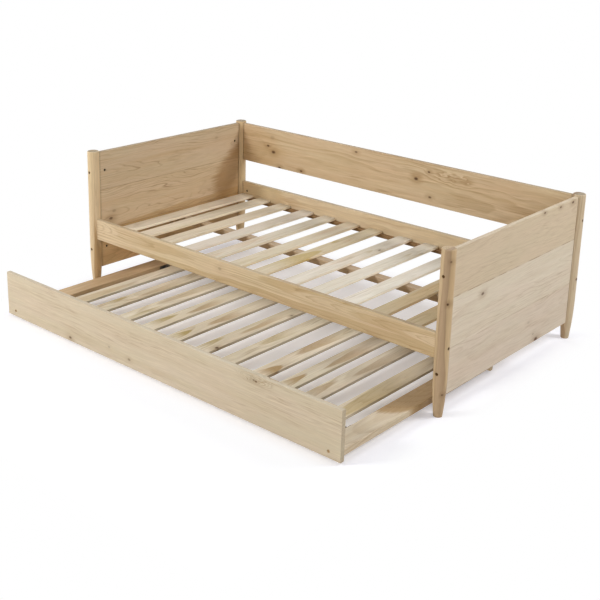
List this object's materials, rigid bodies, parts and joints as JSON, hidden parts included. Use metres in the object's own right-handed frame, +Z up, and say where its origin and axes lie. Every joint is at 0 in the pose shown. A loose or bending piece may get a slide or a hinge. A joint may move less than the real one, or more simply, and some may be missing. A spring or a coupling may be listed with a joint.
{
  "type": "trundle bed",
  "caption": "Solid pine daybed with turned posts, panel ends, a slatted deck and a low slatted trundle that rolls out on small wheels",
  "frame": {"origin": "on the floor, in the middle of the space that the daybed and the pulled-out trundle cover together", "axes": "+X along the bed towards the viewer's right, +Y from the trundle's front towards the backrest, +Z up"},
  "size_m": [2.004, 1.54, 0.65],
  "materials": {
    "pine_posts": "clear matt pine, grain along the post",
    "pine_boards": "clear matt pine with knots, grain along the board",
    "pine_slats": "planed bare pine",
    "zinc_steel": "zinc-plated steel fasteners",
    "zinc_plate": "zinc-plated pressed steel",
    "wheel_plastic": "moulded dark nylon"
  },
  "bodies": {
    "daybed": {"back_rail": "pine_boards", "backrest_board": "pine_boards", "beam_cleat_left": "pine_slats", "beam_cleat_right": "pine_slats", "centre_beam": "pine_slats", "deck_slat_01": "pine_slats", "deck_slat_02": "pine_slats", "deck_slat_03": "pine_slats", "deck_slat_04": "pine_slats", "deck_slat_05": "pine_slats", "deck_slat_06": "pine_slats", "deck_slat_07": "pine_slats", "deck_slat_08": "pine_slats", "deck_slat_09": "pine_slats", "deck_slat_10": "pine_slats", "deck_slat_11": "pine_slats", "deck_slat_12": "pine_slats", "deck_slat_13": "pine_slats", "end_panel_left": "pine_boards", "end_panel_right": "pine_boards", "front_rail": "pine_boards", "ledger_back": "pine_slats", "ledger_front": "pine_slats", "post_back_left": "pine_posts", "post_back_right": "pine_posts", "post_barrel_nuts": "zinc_steel", "post_bolts": "zinc_steel", "post_front_left": "pine_posts", "post_front_right": "pine_posts"},
    "trundle": {"caster_axles": "zinc_steel", "caster_bracket_front_left": "zinc_plate", "caster_bracket_front_right": "zinc_plate", "caster_bracket_rear_left": "zinc_plate", "caster_bracket_rear_right": "zinc_plate", "caster_screws": "zinc_steel", "trundle_barrel_nuts": "zinc_steel", "trundle_bolts": "zinc_steel", "trundle_front_panel": "pine_boards", "trundle_ledger_front": "pine_slats", "trundle_ledger_rear": "pine_slats", "trundle_rear_rail": "pine_boards", "trundle_side_left": "pine_boards", "trundle_side_right": "pine_boards", "trundle_slat_01": "pine_slats", "trundle_slat_02": "pine_slats", "trundle_slat_03": "pine_slats", "trundle_slat_04": "pine_slats", "trundle_slat_05": "pine_slats", "trundle_slat_06": "pine_slats", "trundle_slat_07": "pine_slats", "trundle_slat_08": "pine_slats", "trundle_slat_09": "pine_slats", "trundle_slat_10": "pine_slats", "trundle_slat_11": "pine_slats"},
    "wheel_front_left": {"caster_wheel_front_left": "wheel_plastic"},
    "wheel_front_right": {"caster_wheel_front_right": "wheel_plastic"},
    "wheel_rear_left": {"caster_wheel_rear_left": "wheel_plastic"},
    "wheel_rear_right": {"caster_wheel_rear_right": "wheel_plastic"}
  },
  "joints": [
    {"name": "trundle_roll", "type": "slide", "parent": "daybed", "child": "trundle", "axis": [0, -1, 0], "range_m": [-0.513, 0.45]},
    {"name": "wheel_front_left_turn", "type": "hinge", "parent": "trundle", "child": "wheel_front_left", "pos_m": [-0.826, -0.615, 0.022], "axis": [1, 0, 0], "continuous": true},
    {"name": "wheel_front_right_turn", "type": "hinge", "parent": "trundle", "child": "wheel_front_right", "pos_m": [0.826, -0.615, 0.022], "axis": [1, 0, 0], "continuous": true},
    {"name": "wheel_rear_left_turn", "type": "hinge", "parent": "trundle", "child": "wheel_rear_left", "pos_m": [-0.826, 0.065, 0.022], "axis": [1, 0, 0], "continuous": true},
    {"name": "wheel_rear_right_turn", "type": "hinge", "parent": "trundle", "child": "wheel_rear_right", "pos_m": [0.826, 0.065, 0.022], "axis": [1, 0, 0], "continuous": true}
  ],
  "couplings": [
    {"joint": "wheel_front_left_turn", "follows": "trundle_roll", "rad_per_m": 45.455},
    {"joint": "wheel_front_right_turn", "follows": "trundle_roll", "rad_per_m": 45.455},
    {"joint": "wheel_rear_left_turn", "follows": "trundle_roll", "rad_per_m": 45.455},
    {"joint": "wheel_rear_right_turn", "follows": "trundle_roll", "rad_per_m": 45.455}
  ]
}
